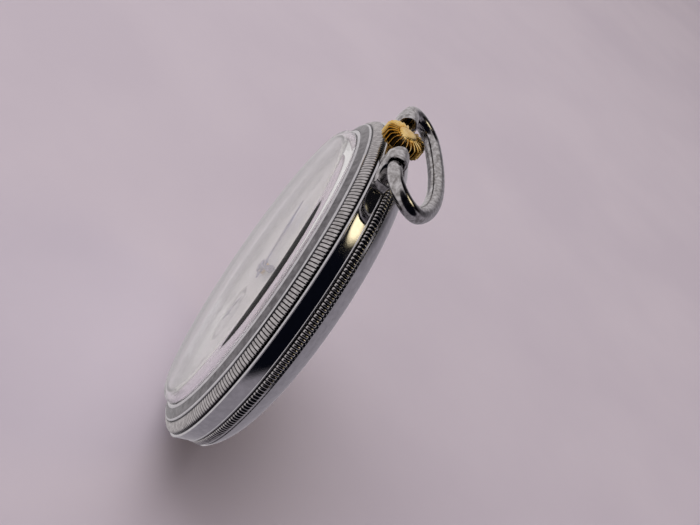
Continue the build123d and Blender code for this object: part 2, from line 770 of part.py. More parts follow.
def minute_wheel():
    phase = partner_phase(cannon_leaves, 0, centre, minute_teeth, minute)
    leaf_phase = partner_phase(hour_teeth, 0, centre, minute_leaves, minute)
    body = toothed(minute_teeth, cannon_module, cannon_level[0], cannon_level[1], minute, phase)
    body += toothed(minute_leaves, hour_module, cannon_level[1], hour_level[1], minute, leaf_phase)
    return body - disc(0.3 + running, 0, 20, minute)


def hour_wheel():
    body = toothed(hour_teeth, hour_module, hour_level[0], hour_level[1], centre, 0)
    body += disc(0.85, hour_level[0], hour_hand_level[1], centre)
    return body - disc(0.55 + running, 0, 20, centre)


def idler_phase():
    phase = partner_phase(cannon_leaves, 0, centre, minute_teeth, minute)
    return partner_phase(minute_teeth, phase, minute, idler_teeth, idler)


def intermediate_wheel():
    body = toothed(idler_teeth, cannon_module, cannon_level[0], cannon_level[1], idler, idler_phase())
    return body - disc(0.3 + running, 0, 20, idler)


def setting_wheel():
    phase = partner_phase(idler_teeth, idler_phase(), idler, setting_teeth, setting)
    body = toothed(setting_teeth, cannon_module, cannon_level[0], cannon_level[1], setting, phase)
    return body - disc(0.3 + running, 0, 20, setting)


# ---- escapement and balance ----
def stone_ends(side):
    direction = escapement_bearing + side * 31
    return polar(escape_radius + 0.32, direction, escape), polar(escape_radius + 0.6, direction, escape)


def pallet_stones():
    stones = [bar(inner, outer, 0.22, lever_level[0], lever_level[1])
              for inner, outer in (stone_ends(-1), stone_ends(1))]
    return Compound(children=[stone.solid() for stone in stones])


def pallet_fork():
    low, high = lever_level
    neck = polar(lever_reach - 1.7, escapement_bearing, pallet)
    body = bar(pallet, neck, 0.4, low, high)
    for side in (-1, 1):
        outer = stone_ends(side)[1]
        body += bar(pallet, outer, 0.36, low, high)
        shoulder = polar(0.55 * side, escapement_bearing + 90, neck)
        body += bar(neck, shoulder, 0.26, low, high)
        body += bar(shoulder, polar(0.55, escapement_bearing, shoulder), 0.26, low, high)
    for side in (-1, 1):
        inner, outer = stone_ends(side)
        body -= bar(inner, outer, 0.22, low - 1, high + 1)
    body += arbor(pallet, 0.22, balance_level[1] + 0.45, plate_back - 0.03, 0.3, 0.45)
    return body


def balance_wheel():
    low, high = balance_level
    body = ring(balance_radius, balance_radius - 0.8, low, high, balance)
    body += bar(polar(balance_radius - 0.4, 30, balance), polar(balance_radius - 0.4, 210, balance),
                0.9, low + 0.15, low + 0.4)
    body += disc(1.1, low + 0.15, low + 0.4, balance)
    return body - disc(0.35, 0, 20, balance)


def balance_staff():
    return arbor(balance, 0.35, bridge_top + cock_thickness + 0.03, plate_back - 0.03, 0.35, 0.45)


def roller():
    low = balance_level[1] + 0.15
    body = ring(roller_radius, 0.35, low, low + 0.25, balance)
    pin = polar(impulse_radius, escapement_bearing + 180, balance)
    return body + disc(0.12, low, lever_level[1], pin)


def hairspring():
    low = bridge_top + cock_thickness + 0.1
    return spiral(balance, 0.42, 0.3, 9, 0.07, low, low + 0.2)


def hairspring_stud():
    at = polar(3.75, 20, balance)
    body = bar(balance, at, 0.9, bridge_top + 0.2, bridge_top + cock_thickness)
    body += disc(0.3, bridge_top + 0.2, bridge_top + cock_thickness + 0.35, at)
    return body - balance_cock() - disc(1.3, 0, 20, balance)


# ---- winding and setting ----
def around_stem(shape, start):
    # Turns a shape drawn along Z onto the stem's axis, starting at the given place on Y.
    return Pos(0, start, stem_height) * Rot(-90, 0, 0) * shape


def winding_stem():
    end = pendant_top + crown_gap + crown_length - 0.6
    body = rod_y(stem_radius, winding_start, end)
    body += rod_y(square_half - 0.04, stem_well_start - 1.2, stem_well_start + 0.5)
    body += block(-square_half, square_half, stem_well_start + 0.1, winding_start,
                  stem_height - square_half, stem_height + square_half)
    groove = rod_y(stem_radius + 1, groove_y - groove_width / 2, groove_y + groove_width / 2)
    return body - (groove - rod_y(stem_radius - groove_depth, 0, 30))


def winding_pinion():
    body = around_stem(toothed(winding_leaves, winding_module, 0, winding_pinion_length, centre, 90),
                       winding_start)
    return body - rod_y(stem_radius + snap_fit, winding_start - 1, winding_end + 1)


def clutch_groove_y():
    return clutch_start + 1.3


def sliding_pinion():
    body = rod_y(clutch_radius, clutch_start, clutch_end)
    groove = rod_y(clutch_radius + 1, clutch_groove_y() - groove_width / 2,
                   clutch_groove_y() + groove_width / 2)
    body -= groove - rod_y(clutch_radius - 0.5, 0, 30)
    hole = square_half + snap_fit
    return body - block(-hole, hole, clutch_start - 1, clutch_end + 1,
                        stem_height - hole, stem_height + hole)


def contrate_wheel():
    # A crown-toothed wheel under the bridge whose stub carries the wheel above it.
    top = bridge_under + 0.5
    root = stem_height - winding_radius - 0.32
    tip = stem_height - winding_radius + 0.05
    body = disc(contrate_radius + 0.3, bridge_under + 0.1, top, crown_wheel_at)
    body += ring(contrate_radius + 0.3, contrate_radius - 0.3, top - 0.1, root, crown_wheel_at)
    pitch = 360 / contrate_teeth
    for tooth in range(contrate_teeth):
        middle = 90 + (tooth + 0.5) * pitch
        corners = [polar(contrate_radius + 0.28, middle - 0.17 * pitch, crown_wheel_at),
                   polar(contrate_radius + 0.28, middle + 0.17 * pitch, crown_wheel_at),
                   polar(contrate_radius - 0.28, middle + 0.17 * pitch, crown_wheel_at),
                   polar(contrate_radius - 0.28, middle - 0.17 * pitch, crown_wheel_at)]
        body += plate(corners, root - 0.05, tip)
    body += disc(1.2, ratchet_level[1] + 0.01, bridge_under + 0.2, crown_wheel_at)
    body += disc(0.6, ratchet_level[0], ratchet_level[1] + 0.1, crown_wheel_at)
    return body - disc(0.25, 0, ratchet_level[0] + 0.8, crown_wheel_at)


def crown_wheel():
    body = toothed(crown_teeth, ratchet_module, ratchet_level[0], ratchet_level[1], crown_wheel_at, 0)
    return body - disc(0.6, 0, 5, crown_wheel_at)


def crown_wheel_screw():
    return slotted_screw(crown_wheel_at, ratchet_level[0] - 0.2, ratchet_level[0],
                         ratchet_level[0] + 0.8, 1.1, 0.25)


def click_pivot():
    return (barrel[0] + ratchet_teeth * ratchet_module / 2 + 1.5, barrel[1])


def click():
    beak = polar(ratchet_teeth * ratchet_module / 2 + 0.55, -12, barrel)
    body = bar(click_pivot(), beak, 0.5, ratchet_level[0], ratchet_level[1])
    body += disc(0.6, ratchet_level[0], ratchet_level[1], click_pivot())
    return body + disc(screw_radius - snap_fit, ratchet_level[1] - 0.1, bridge_under, click_pivot())


def click_spring():
    foot = (click_pivot()[0] + 1.5, click_pivot()[1] - 3.5)
    tip = (click_pivot()[0] + 0.6, click_pivot()[1] - 1.0)
    body = bar(foot, tip, 0.25, ratchet_level[0], ratchet_level[1])
    return body + disc(0.6, ratchet_level[0], bridge_top, foot)


def lever_pivot():
    return (lever_arm, groove_y + crown_pull / 2)


def yoke_pivot():
    return (-yoke_arm, clutch_groove_y() - crown_pull / 2)


def setting_lever():
    low, high = keyless_level
    at = (0.0, groove_y)
    body = bar(lever_pivot(), at, 0.7, low, high) + disc(0.6, low, high, lever_pivot())
    body += disc(0.22, stem_height + stem_radius - groove_depth + snap_fit, high, at)
    return body - disc(0.3 + running, 0, 20, lever_pivot())


def yoke():
    low, high = keyless_level
    body = bar(yoke_pivot(), (0.3, clutch_groove_y()), 0.36, low, high)
    body += disc(0.6, low, high, yoke_pivot())
    return body - disc(0.3 + running, 0, 20, yoke_pivot())


def yoke_spring():
    low, high = keyless_level
    foot = (yoke_pivot()[0] - 1.2, yoke_pivot()[1] - 5.0)
    tip = (yoke_pivot()[0] + 0.4, yoke_pivot()[1] - 1.0)
    return bar(foot, tip, 0.25, low, high) + disc(0.6, plate_front, high, foot)


pieces = [
    case_middle, pendant, pendant_sleeve, back_cover, bezel, crystal, bow, crown, winding_stem,
    mainplate, barrel_bridge, train_bridge, pallet_bridge, balance_cock, hairspring_stud,
    jewels, bridge_screws, pallet_screws, case_screws,
    dial_spacer, dial, hour_hand, minute_hand, second_hand,
    barrel_drum, barrel_cover, mainspring, barrel_arbor, ratchet_wheel, ratchet_screw,
    centre_wheel, centre_pinion, cannon_pinion, third_wheel, third_pinion,
    fourth_wheel, fourth_pinion, escape_wheel, escape_pinion,
    minute_wheel, hour_wheel, intermediate_wheel, setting_wheel,
    pallet_fork, pallet_stones, balance_wheel, balance_staff, roller, hairspring,
    winding_pinion, sliding_pinion, contrate_wheel, crown_wheel, crown_wheel_screw,
    click, click_spring, setting_lever, yoke, yoke_spring,
]

os.makedirs("parts", exist_ok=True)
for piece in pieces:
    export_step(place(piece()), f"parts/{piece.__name__}.step")
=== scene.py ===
"""An open-face pocket watch: a nickel-plated snap case with a coin-edged bezel and back, a domed
crystal, a gilt fluted crown, a swinging bow, and a keyless lever movement inside.

The watch is in its own frame: 12 o'clock is +Z, 3 o'clock is +X and the dial faces -Y.  Sizes are in
millimetres and MM turns them into metres.  A place on the case is given by its radius from the watch's
axis and its height from the flat of the back towards the dial, which is -Y.
"""

import math

import bpy
import mathutils
import numpy as np
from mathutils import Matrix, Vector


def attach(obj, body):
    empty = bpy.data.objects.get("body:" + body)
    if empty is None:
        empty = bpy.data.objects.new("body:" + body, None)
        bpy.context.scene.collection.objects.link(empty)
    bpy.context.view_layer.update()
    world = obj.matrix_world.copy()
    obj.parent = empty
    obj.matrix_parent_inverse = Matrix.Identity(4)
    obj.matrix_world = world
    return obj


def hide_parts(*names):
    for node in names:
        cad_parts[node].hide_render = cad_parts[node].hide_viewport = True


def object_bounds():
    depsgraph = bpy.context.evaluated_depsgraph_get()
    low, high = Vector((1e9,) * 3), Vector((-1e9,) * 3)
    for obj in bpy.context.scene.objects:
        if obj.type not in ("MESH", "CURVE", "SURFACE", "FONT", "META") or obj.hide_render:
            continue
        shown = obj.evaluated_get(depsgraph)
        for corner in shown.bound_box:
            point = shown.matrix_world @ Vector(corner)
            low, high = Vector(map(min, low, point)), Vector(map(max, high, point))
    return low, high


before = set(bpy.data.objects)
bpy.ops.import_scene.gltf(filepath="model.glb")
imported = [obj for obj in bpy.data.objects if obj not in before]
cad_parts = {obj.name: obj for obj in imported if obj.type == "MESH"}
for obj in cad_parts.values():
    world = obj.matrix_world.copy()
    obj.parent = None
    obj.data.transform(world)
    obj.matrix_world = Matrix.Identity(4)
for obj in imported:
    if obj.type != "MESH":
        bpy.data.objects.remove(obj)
cad_box = [list(corner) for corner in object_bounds()]
MM = 0.001


# ---- case middle -------------------------------------------------------------------------------
# The case middle is a turned ring of nickel silver, nickel plated and buffed to a mirror.  Its band
# slopes in towards the back, and a thin lip stands proud beside the bezel.
def to_linear(code):
    """The linear colour of an sRGB hex code: a channel up to 0.04045 is divided by 12.92, and a higher
    one is ((c + 0.055) / 1.055) to the power 2.4."""
    channels = [int(code[i:i + 2], 16) / 255 for i in (1, 3, 5)]
    return tuple(c / 12.92 if c <= 0.04045 else ((c + 0.055) / 1.055) ** 2.4 for c in channels) + (1.0,)


def add_node(tree, kind, inputs=None, output=None, **settings):
    """One node of a material.  settings are the node's own choices; inputs gives each input, by name or
    number, a value or the socket that feeds it.  Returns the named output, or the first one in use."""
    node = tree.nodes.new("ShaderNode" + kind)
    for name, value in settings.items():
        setattr(node, name, value)
    for key, value in (inputs or {}).items():
        socket = node.inputs[key] if isinstance(key, int) else next(
            s for s in node.inputs if s.name == key and s.enabled)
        if isinstance(value, bpy.types.NodeSocket):
            tree.links.new(value, socket)
        else:
            socket.default_value = value
    return node.outputs[output] if output else next(s for s in node.outputs if s.enabled)


def new_material(name, **constants):
    """A material with only a Principled shader, its named inputs set; returns it, its tree, the shader
    and the piece's own coordinates, which are metres from the watch's origin."""
    material = bpy.data.materials.new(name)
    material.use_nodes = True
    tree = material.node_tree
    shader = tree.nodes["Principled BSDF"]
    for title, value in constants.items():
        shader.inputs[title.replace("_", " ")].default_value = value
    return material, tree, shader, add_node(tree, "TexCoord", output="Object")


def noise(tree, place, size, low, high, from_low=0.35, from_high=0.65, detail=4.0):
    """Soft noise whose blotches are about size millimetres across, as a value from low to high."""
    value = add_node(tree, "TexNoise", {"Vector": place, "Scale": 1 / (size * MM), "Detail": detail},
                     "Fac")
    return add_node(tree, "MapRange", {"Value": value, "From Min": from_low, "From Max": from_high,
                                       "To Min": low, "To Max": high})


def blend_colours(tree, factor, low, high):
    """The colour that goes from one hex code to the other as the factor goes from 0 to 1."""
    return add_node(tree, "Mix", {"Factor": factor, "A": to_linear(low), "B": to_linear(high)},
                    data_type="RGBA")


def surface(name, grid, **marks):
    """A closed mesh through a grid of points (rows, columns, xyz, in millimetres).  Four neighbours make
    two triangles; points in one place become one, which closes seams and poles; and the mesh is turned
    outward by the sign of its volume, the sum of a . (b x c) / 6 over its triangles."""
    rows, columns = grid.shape[:2]
    flat = grid.reshape(-1, 3) * MM
    _, first, merged = np.unique(np.round(flat, 8), axis=0, return_index=True, return_inverse=True)
    index = merged.reshape(rows, columns)
    a, b, c, d = index[:-1, :-1], index[1:, :-1], index[1:, 1:], index[:-1, 1:]
    faces = np.concatenate([np.stack([a, b, c], -1).reshape(-1, 3),
                            np.stack([a, c, d], -1).reshape(-1, 3)])
    first_end, second_end, third_end = faces.T
    faces = faces[(first_end != second_end) & (second_end != third_end) & (third_end != first_end)]
    points = flat[first]
    corners = points[faces]
    volume = (corners[:, 0] * np.cross(corners[:, 1], corners[:, 2])).sum() / 6
    if volume < 0:
        faces = faces[:, ::-1]
    mesh = bpy.data.meshes.new(name)
    mesh.vertices.add(len(points))
    mesh.vertices.foreach_set("co", points.astype(np.float32).ravel())
    mesh.loops.add(faces.size)
    mesh.loops.foreach_set("vertex_index", faces.astype(np.int32).ravel())
    mesh.polygons.add(len(faces))
    mesh.polygons.foreach_set("loop_start", np.arange(0, faces.size, 3, dtype=np.int32))
    mesh.update(calc_edges=True)
    mesh.polygons.foreach_set("use_smooth", np.ones(len(faces), dtype=bool))
    mesh.set_sharp_from_angle(angle=math.radians(40))
    for mark, values in marks.items():
        layer = mesh.attributes.new(mark, "FLOAT", "POINT")
        layer.data.foreach_set("value", values.reshape(-1)[first].astype(np.float32))
    return mesh


def place_piece(name, meshes, material, body, slot, *nodes):
    """One object made of the meshes, with its material; it rides on a body and stands for the nodes."""
    parts = [bpy.data.objects.new(name, mesh) for mesh in meshes]
    for part in parts:
        bpy.context.scene.collection.objects.link(part)
    piece = parts[0]
    if len(parts) > 1:
        with bpy.context.temp_override(active_object=piece, object=piece, selected_objects=parts,
                                       selected_editable_objects=parts):
            bpy.ops.object.join()
    piece.data.materials.clear()
    piece.data.materials.append(material)
    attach(piece, body)
    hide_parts(*nodes)
    return piece


def rounded(corners, radius=0.08, steps=4):
    """A closed outline whose corners are eased: each corner becomes a quadratic curve that starts and
    ends the given distance before and after it."""
    corners = np.array(corners, dtype=float)
    before = np.roll(corners, 1, axis=0) - corners
    after = np.roll(corners, -1, axis=0) - corners
    before_length = np.linalg.norm(before, axis=1)[:, None]
    after_length = np.linalg.norm(after, axis=1)[:, None]
    start = corners + before / before_length * np.minimum(radius, before_length * 0.45)
    end = corners + after / after_length * np.minimum(radius, after_length * 0.45)
    t = np.linspace(0, 1, steps + 1)[None, :, None]
    curve = start[:, None] * (1 - t) ** 2 + 2 * corners[:, None] * t * (1 - t) + end[:, None] * t ** 2
    loop = curve.reshape(-1, 2)
    return np.vstack([loop, loop[:1]])


def around(outline, columns):
    """An outline of radius and height carried round the watch's axis: (r sin a, -h, r cos a)."""
    angle = np.linspace(0, 2 * np.pi, columns + 1)[:, None]
    radius, height = outline[None, :, 0], outline[None, :, 1]
    return np.stack([radius * np.sin(angle), -height + 0 * angle, radius * np.cos(angle)], -1)


BACK_JOINT, BEZEL_JOINT = 3.95, 6.45
BACK_RIM_RADIUS, NECK_RADIUS, INNER_RADIUS, FLANGE_RADIUS = 24.35, 22.9, 20.95, 21.45
BEZEL_RADIUS, LIP_RADIUS = 25.0, 25.15
BAND_RADIUS, BAND_START, BAND_END = 24.4, BACK_JOINT + 0.28, BEZEL_JOINT - 0.36
BACK_NECK, FRONT_NECK, FLANGE_HEIGHT, JOINT_GAP = BACK_JOINT - 0.97, BEZEL_JOINT + 0.9, 6.1, 0.06

# The band's radius grows from the bead as 1 - (1 - t)^1.35, with t from 0 at the bead to 1 at the lip.
band_turn = np.linspace(0, 1, 14)[1:-1]
band_curve = np.stack([BAND_RADIUS + (BEZEL_RADIUS - BAND_RADIUS) * (1 - (1 - band_turn) ** 1.35),
                       BAND_START + (BAND_END - BAND_START) * band_turn], -1)
bead_radius = BAND_RADIUS + 0.06
band = rounded([
    (INNER_RADIUS, BACK_NECK), (NECK_RADIUS, BACK_NECK), (NECK_RADIUS, BACK_JOINT + JOINT_GAP),
    (BACK_RIM_RADIUS, BACK_JOINT + JOINT_GAP), (bead_radius, BACK_JOINT + 0.1),
    (bead_radius, BACK_JOINT + 0.24), (BAND_RADIUS, BAND_START), *band_curve, (BEZEL_RADIUS, BAND_END),
    (LIP_RADIUS, BEZEL_JOINT - 0.3), (LIP_RADIUS, BEZEL_JOINT - 0.23),
    (BEZEL_RADIUS - 0.03, BEZEL_JOINT - JOINT_GAP), (NECK_RADIUS, BEZEL_JOINT - JOINT_GAP),
    (NECK_RADIUS, FRONT_NECK), (FLANGE_RADIUS, FRONT_NECK), (FLANGE_RADIUS, FLANGE_HEIGHT),
    (INNER_RADIUS, FLANGE_HEIGHT)])

# Nickel plate buffed to a mirror: a nearly white metal, hazy where the pocket has rubbed it, with a
# few dark pits where the plate has worn through.
mirror_nickel, tree, shader, place = new_material("mirror_nickel_plate", Metallic=1.0)
tree.links.new(noise(tree, place, 3.5, 0.035, 0.12, detail=6.0), shader.inputs["Roughness"])
pit = add_node(tree, "TexVoronoi", {"Vector": place, "Scale": 1 / (1.6 * MM)}, "Distance")
pit_core = add_node(tree, "MapRange", {"Value": pit, "From Min": 0.07, "From Max": 0.11, "To Min": 1.0,
                                       "To Max": 0.0})
pit_patch = noise(tree, place, 9.0, 0.0, 1.0, 0.58, 0.62, detail=1.0)
pitted = add_node(tree, "Math", {0: pit_core, 1: pit_patch}, operation="MULTIPLY")
haze = blend_colours(tree, noise(tree, place, 0.8, 0.0, 1.0), "#C3C2C5", "#D2D1D4")
tree.links.new(add_node(tree, "Mix", {"Factor": pitted, "A": haze, "B": to_linear("#26221F")},
                        data_type="RGBA"), shader.inputs["Base Color"])
scuffs = noise(tree, place, 0.25, 0.0, 1.0, detail=2.0)
tree.links.new(add_node(tree, "Bump", {"Height": scuffs, "Strength": 0.04, "Distance": 0.02 * MM}),
               shader.inputs["Normal"])
place_piece("case_middle_shell", [surface("band", around(band, 640))], mirror_nickel, "case", "case_metal",
            "case_middle")


# ---- pendant -----------------------------------------------------------------------------------
# The pendant is nickel silver, plated and soldered on at 12 o'clock: a block that the winding stem
# passes through, and a lug at each side for the bow.  A round cutter has scooped each lug's flank.
PENDANT_TOP, STEM_HEIGHT, BOW_PIVOT = 25.9, 5.0, 27.0
LUG_INNER, LUG_OUTER, LUG_RADIUS, SCOOP_RADIUS = 4.1, 7.0, 1.4, 2.3
FOOT_HALF_WIDTH, FOOT_LEVEL = 7.6, 22.7
SOCKET_DEPTH, SOCKET_RADIUS = 1.3, 1.04
LUG_STEPS = 48


def lofted(name, levels, near, far, half, squareness=7.0, columns=96):
    """A closed body of soft rectangles, one at each level up the pendant: across it goes from near to
    far, through it from -half to half about the stem.  A soft rectangle is (|c|^(2/p), |s|^(2/p)) with
    the signs of the cosine c and sine s and squareness p.  Its ends close in the middle of the section."""
    angle = np.linspace(0, 2 * np.pi, columns + 1)[None, :]
    ends = np.array([0.0] + [1.0] * len(levels) + [0.0])[:, None]
    levels, near, far, half = (np.concatenate([row[:1], row, row[-1:]])[:, None]
                               for row in (levels, near, far, half))
    across = np.sign(np.cos(angle)) * np.abs(np.cos(angle)) ** (2 / squareness)
    through = np.sign(np.sin(angle)) * np.abs(np.sin(angle)) ** (2 / squareness)
    x = (near + far) / 2 + (far - near) / 2 * across * ends
    return surface(name, np.stack([x, -(STEM_HEIGHT + half * through * ends), levels + 0 * x], -1))


lug_turn = np.linspace(0, np.pi / 2, 12)
lug_levels = np.concatenate([np.linspace(FOOT_LEVEL, BOW_PIVOT, LUG_STEPS)[:-1],
                             BOW_PIVOT + LUG_RADIUS * np.sin(lug_turn)])
# Up from the foot, half the lug's thickness grows by 0.35 as the smooth step w^2 (3 - 2 w).
waist = np.clip((lug_levels[:LUG_STEPS - 1] - 23.6) / 2.2, 0, 1)
lug_half = np.concatenate([LUG_RADIUS - 0.35 + 0.35 * waist ** 2 * (3 - 2 * waist),
                           LUG_RADIUS * np.cos(lug_turn)])
scoop_middle = (LUG_OUTER + 1.7, BOW_PIVOT - 0.4)
scoop_reach = np.sqrt(np.clip(SCOOP_RADIUS ** 2 - (lug_levels - scoop_middle[1]) ** 2, 0, None))
lug_far = np.minimum(scoop_middle[0] - scoop_reach, FOOT_HALF_WIDTH)
lug_near = np.full_like(lug_levels, LUG_INNER)


def drilled(mesh, reach, radius):
    """The mesh with a round socket cut along X at the bow's pivot, from the reach outward: a cylinder
    is taken away from it."""
    holder = bpy.data.objects.new("lug", mesh)
    side = math.copysign(1, reach)
    angle = np.linspace(0, 2 * np.pi, 49)[None, :]
    ends = np.array([0.0, 1.0, 1.0, 0.0])[:, None] * radius
    x = np.array([reach, reach, side * 10, side * 10])[:, None]
    drill = bpy.data.objects.new("drill", surface("drill", np.stack(
        [x + 0 * angle, -STEM_HEIGHT + ends * np.cos(angle), BOW_PIVOT + ends * np.sin(angle)], -1)))
    for thing in (holder, drill):
        bpy.context.scene.collection.objects.link(thing)
    cut = holder.modifiers.new("socket", "BOOLEAN")
    cut.operation, cut.solver, cut.object = "DIFFERENCE", "EXACT", drill
    made = bpy.data.meshes.new_from_object(holder.evaluated_get(bpy.context.evaluated_depsgraph_get()))
    for thing in (holder, drill):
        bpy.data.objects.remove(thing)
    made.set_sharp_from_angle(angle=math.radians(40))
    return made


pendant_meshes = []
for side in (-1, 1):
    lug = lofted("lug", lug_levels, side * lug_near, side * lug_far, lug_half)
    pendant_meshes.append(drilled(lug, side * (LUG_OUTER - SOCKET_DEPTH), SOCKET_RADIUS))
block_levels = np.concatenate([np.linspace(FOOT_LEVEL, PENDANT_TOP - 0.12, 12),
                               [PENDANT_TOP - 0.04, PENDANT_TOP]])
block_reach = np.concatenate([np.full(12, LUG_INNER + 0.5), [LUG_INNER + 0.45, LUG_INNER + 0.3]])
block_half = np.concatenate([np.full(12, LUG_RADIUS), [LUG_RADIUS - 0.04, LUG_RADIUS - 0.14]])
pendant_meshes.append(lofted("block", block_levels, -block_reach, block_reach, block_half))

# Nickel plate dulled by years of handling: patches of grey bloom over a finely scuffed surface.
handled_nickel, tree, shader, place = new_material("handled_nickel_plate", Metallic=1.0)
tree.links.new(blend_colours(tree, noise(tree, place, 0.5, 0.0, 1.0, detail=8.0), "#8C8988", "#CBC9CA"),
               shader.inputs["Base Color"])
tree.links.new(noise(tree, place, 0.8, 0.05, 0.2, detail=7.0), shader.inputs["Roughness"])
scuffs = noise(tree, place, 0.3, 0.0, 1.0, detail=6.0)
tree.links.new(add_node(tree, "Bump", {"Height": scuffs, "Strength": 0.07, "Distance": 0.02 * MM}),
               shader.inputs["Normal"])
place_piece("pendant_shell", pendant_meshes, handled_nickel, "case", "case_metal", "pendant")


# ---- back cover --------------------------------------------------------------------------------
# The back is a pressed cup of the same plated metal, which snaps over the case middle's neck.
# Its rim was run against a coining wheel, which left rounded ribs with deep gaps, and their darkness is
# painted shade.
def reeded(name, start, end, crown, ribs, depth, thickness, gap, rows=11, per_rib=8):
    """A ring of ribs between two points of the outline, closed behind.  Its profile bulges by crown, as
    crown * 4 t (1 - t), and every point sinks by depth * (1 - rib * end), where rib, round the ring, is
    |cos(ribs * a / 2)| to the power gap and end is 1 - |2 t - 1|^6.  The mark groove keeps 1 - rib * end."""
    start, end = np.array(start), np.array(end)
    along = (end - start) / np.linalg.norm(end - start)
    outward = np.array([-along[1], along[0]]) * math.copysign(1, -along[1])
    t = np.linspace(0, 1, rows)[:, None]
    profile = start + (end - start) * t + outward * crown * 4 * t * (1 - t)
    angle = np.linspace(0, 2 * np.pi, ribs * per_rib + 1)[:, None]
    rib = np.abs(np.cos(ribs * angle / 2)) ** gap
    groove = 1 - rib * (1 - np.abs(2 * t.T - 1) ** 6)
    sunk = profile[None] - outward * depth * groove[..., None]
    inner = np.stack([end, start]) - outward * thickness
    loop = np.concatenate([sunk, np.broadcast_to(inner, (len(angle), 2, 2)), sunk[:, :1]], axis=1)
    marks = np.concatenate([groove, np.ones((len(angle), 2)), groove[:, :1]], axis=1)
    grid = np.stack([loop[..., 0] * np.sin(angle), -loop[..., 1], loop[..., 0] * np.cos(angle)], -1)
    return surface(name, grid, groove=marks)


BACK_FLAT_RADIUS, BACK_THICKNESS, BACK_SHOULDER = 18.5, 0.5, 2.6
BACK_RIBS = 288
SHOULDER_TURN = math.radians(57)
BACK_SIDE = BACK_RIM_RADIUS - 0.17
SEAT_RADIUS = NECK_RADIUS + 0.05
# The cup curves up from its flat as (sin s, 1 - cos s), scaled to reach its side at the full turn; the
# inner face lies a wall's thickness inside it.
shoulder_turn = np.linspace(0, SHOULDER_TURN, 22)[:, None]
shoulder_reach = np.sin(shoulder_turn) / math.sin(SHOULDER_TURN)
shoulder_climb = (1 - np.cos(shoulder_turn)) / (1 - math.cos(SHOULDER_TURN))
dished = np.hstack([BACK_FLAT_RADIUS + (BACK_SIDE - BACK_FLAT_RADIUS) * shoulder_reach,
                    (BACK_SHOULDER - 0.1) * shoulder_climb])
wall = np.hstack([0.62 * np.sin(shoulder_turn) + 0.02, -BACK_THICKNESS * np.cos(shoulder_turn)])
inside = (dished - wall)[::-1]
inside[:, 0] = np.minimum(inside[:, 0], SEAT_RADIUS)
back_outline = np.vstack([
    [(0, 0)], dished, [(BACK_SIDE, BACK_SHOULDER - 0.1), (BACK_SIDE - 0.16, BACK_SHOULDER),
                       (BACK_SIDE - 0.1, BACK_JOINT - 0.12), (BACK_SIDE, BACK_JOINT),
                       (SEAT_RADIUS, BACK_JOINT)], inside, [(0, BACK_THICKNESS), (0, 0)]])
place_piece("back_cover_shell", [surface("back", around(back_outline, 512))], mirror_nickel, "case",
            "case_metal", "back_cover")

# The same nickel plate over coining, of uneven tone; painted shade turns the gaps between the ribs near
# black.
coined_nickel, tree, shader, place = new_material("coined_nickel_plate", Metallic=1.0)
groove = add_node(tree, "Attribute", output="Fac", attribute_name="groove")
# Painted shade: where the groove mark is deep, the colour goes to near black.
gap = add_node(tree, "MapRange", {"Value": groove, "From Min": 0.3, "From Max": 0.7})
worn = blend_colours(tree, noise(tree, place, 0.6, 0.0, 1.0), "#A9A6A6", "#C9C6C6")
tree.links.new(add_node(tree, "Mix", {"Factor": gap, "A": worn, "B": to_linear("#17151A")},
                        data_type="RGBA"), shader.inputs["Base Color"])
tree.links.new(noise(tree, place, 0.9, 0.1, 0.2, detail=5.0), shader.inputs["Roughness"])
tree.links.new(add_node(tree, "Bump", {"Height": noise(tree, place, 0.12, 0.0, 1.0), "Strength": 0.06,
                                       "Distance": 0.02 * MM}), shader.inputs["Normal"])
back_ribs = reeded("back_ribs", (BACK_SIDE - 0.02, BACK_SHOULDER + 0.06),
                   (BACK_RIM_RADIUS, BACK_JOINT - 0.08), crown=0.09, ribs=BACK_RIBS, depth=0.24,
                   thickness=0.6, gap=0.62)
place_piece("back_cover_coining", [back_ribs], coined_nickel, "case", "case_metal", "back_cover")


# ---- bezel -------------------------------------------------------------------------------------
# The bezel is a turned ring that snaps over the case middle from the front and holds the crystal.
# Its outer slope is coined with finer ribs; inside them are a satin slope and a polished edge.
BEZEL_RIBS, BEZEL_TOP, CRYSTAL_RADIUS, CRYSTAL_SEAT = 294, 8.7, 21.7, 8.0
SHADOW_GAP, BEZEL_LEDGE, HOLDER_RADIUS = 0.17, BEZEL_JOINT + 1.0, 22.2
bezel_ribs = reeded("bezel_ribs", (BEZEL_RADIUS - 0.02, BEZEL_JOINT + SHADOW_GAP), (23.78, 7.78),
                    crown=0.14, ribs=BEZEL_RIBS, depth=0.2, thickness=0.5, gap=0.6)
place_piece("bezel_coining", [bezel_ribs], coined_nickel, "bezel", "case_metal", "bezel")

# The slope inside the ribs: the same plate, left satin by a fine abrasive, so it shows grey and soft.
# The abrasive's own grit is finer than shows, so its grain is drawn 0.08 mm wide.
satin_nickel, tree, shader, place = new_material("satin_nickel_plate", Metallic=1.0)
tree.links.new(blend_colours(tree, noise(tree, place, 0.9, 0.0, 1.0), "#6A686B", "#868487"),
               shader.inputs["Base Color"])
tree.links.new(noise(tree, place, 0.5, 0.26, 0.4), shader.inputs["Roughness"])
tree.links.new(add_node(tree, "Bump", {"Height": noise(tree, place, 0.08, 0.0, 1.0), "Strength": 0.25,
                                       "Distance": 0.01 * MM}), shader.inputs["Normal"])
slope = rounded([
    (SEAT_RADIUS, BEZEL_JOINT), (BEZEL_RADIUS - 0.42, BEZEL_JOINT),
    (BEZEL_RADIUS - 0.42, BEZEL_JOINT + SHADOW_GAP + 0.1), (23.56, 7.62), (23.56, 7.9), (23.44, 7.98),
    (22.36, 8.52), (22.28, 8.44), (HOLDER_RADIUS - 0.1, 8.4), (HOLDER_RADIUS - 0.1, BEZEL_LEDGE),
    (SEAT_RADIUS, BEZEL_LEDGE)], 0.05)
